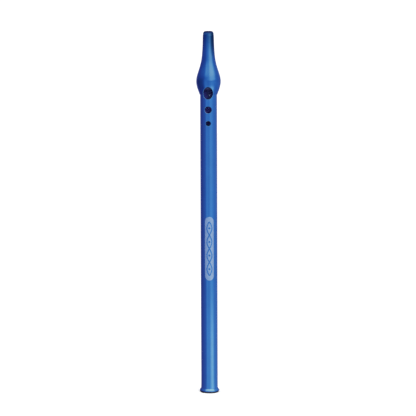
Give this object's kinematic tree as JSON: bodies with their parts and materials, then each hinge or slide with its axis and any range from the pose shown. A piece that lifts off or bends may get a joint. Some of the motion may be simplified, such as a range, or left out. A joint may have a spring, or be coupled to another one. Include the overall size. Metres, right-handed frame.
{
  "type": "tin whistle",
  "caption": "Slim blue anodised whistle tube with a slip-on bulb mouthpiece, an oval window, round tone holes and a flared foot.",
  "frame": {"origin": "centre of the face the whistle stands on, at the bottom of the foot washer", "axes": "+Z along the bore from the foot to the mouthpiece, -Y the front where the window and tone holes open, +X to the right seen from the front"},
  "size_m": [0.0186, 0.0186, 0.275],
  "materials": {
    "blue_anodised": "bright dyed anodising",
    "black_acetal": "machined",
    "steel": "ground dowel",
    "black_rubber": "moulded"
  },
  "bodies": {
    "barrel": {"body_tube": "blue_anodised", "windway_block": "black_acetal", "block_pin": "steel", "foot_ring": "blue_anodised", "foot_washer": "black_rubber"},
    "seals": {"upper_o_ring": "black_rubber", "lower_o_ring": "black_rubber"},
    "head": {"mouthpiece": "blue_anodised"}
  },
  "joints": [
    {"name": "mouthpiece_pull", "type": "slide", "parent": "barrel", "child": "seals", "axis": [0, 0, 1], "range_m": [0, 0.016]},
    {"name": "mouthpiece_twist", "type": "hinge", "parent": "seals", "child": "head", "pos_m": [0, 0, 0.2365], "axis": [0, 0, 1], "continuous": true}
  ]
}
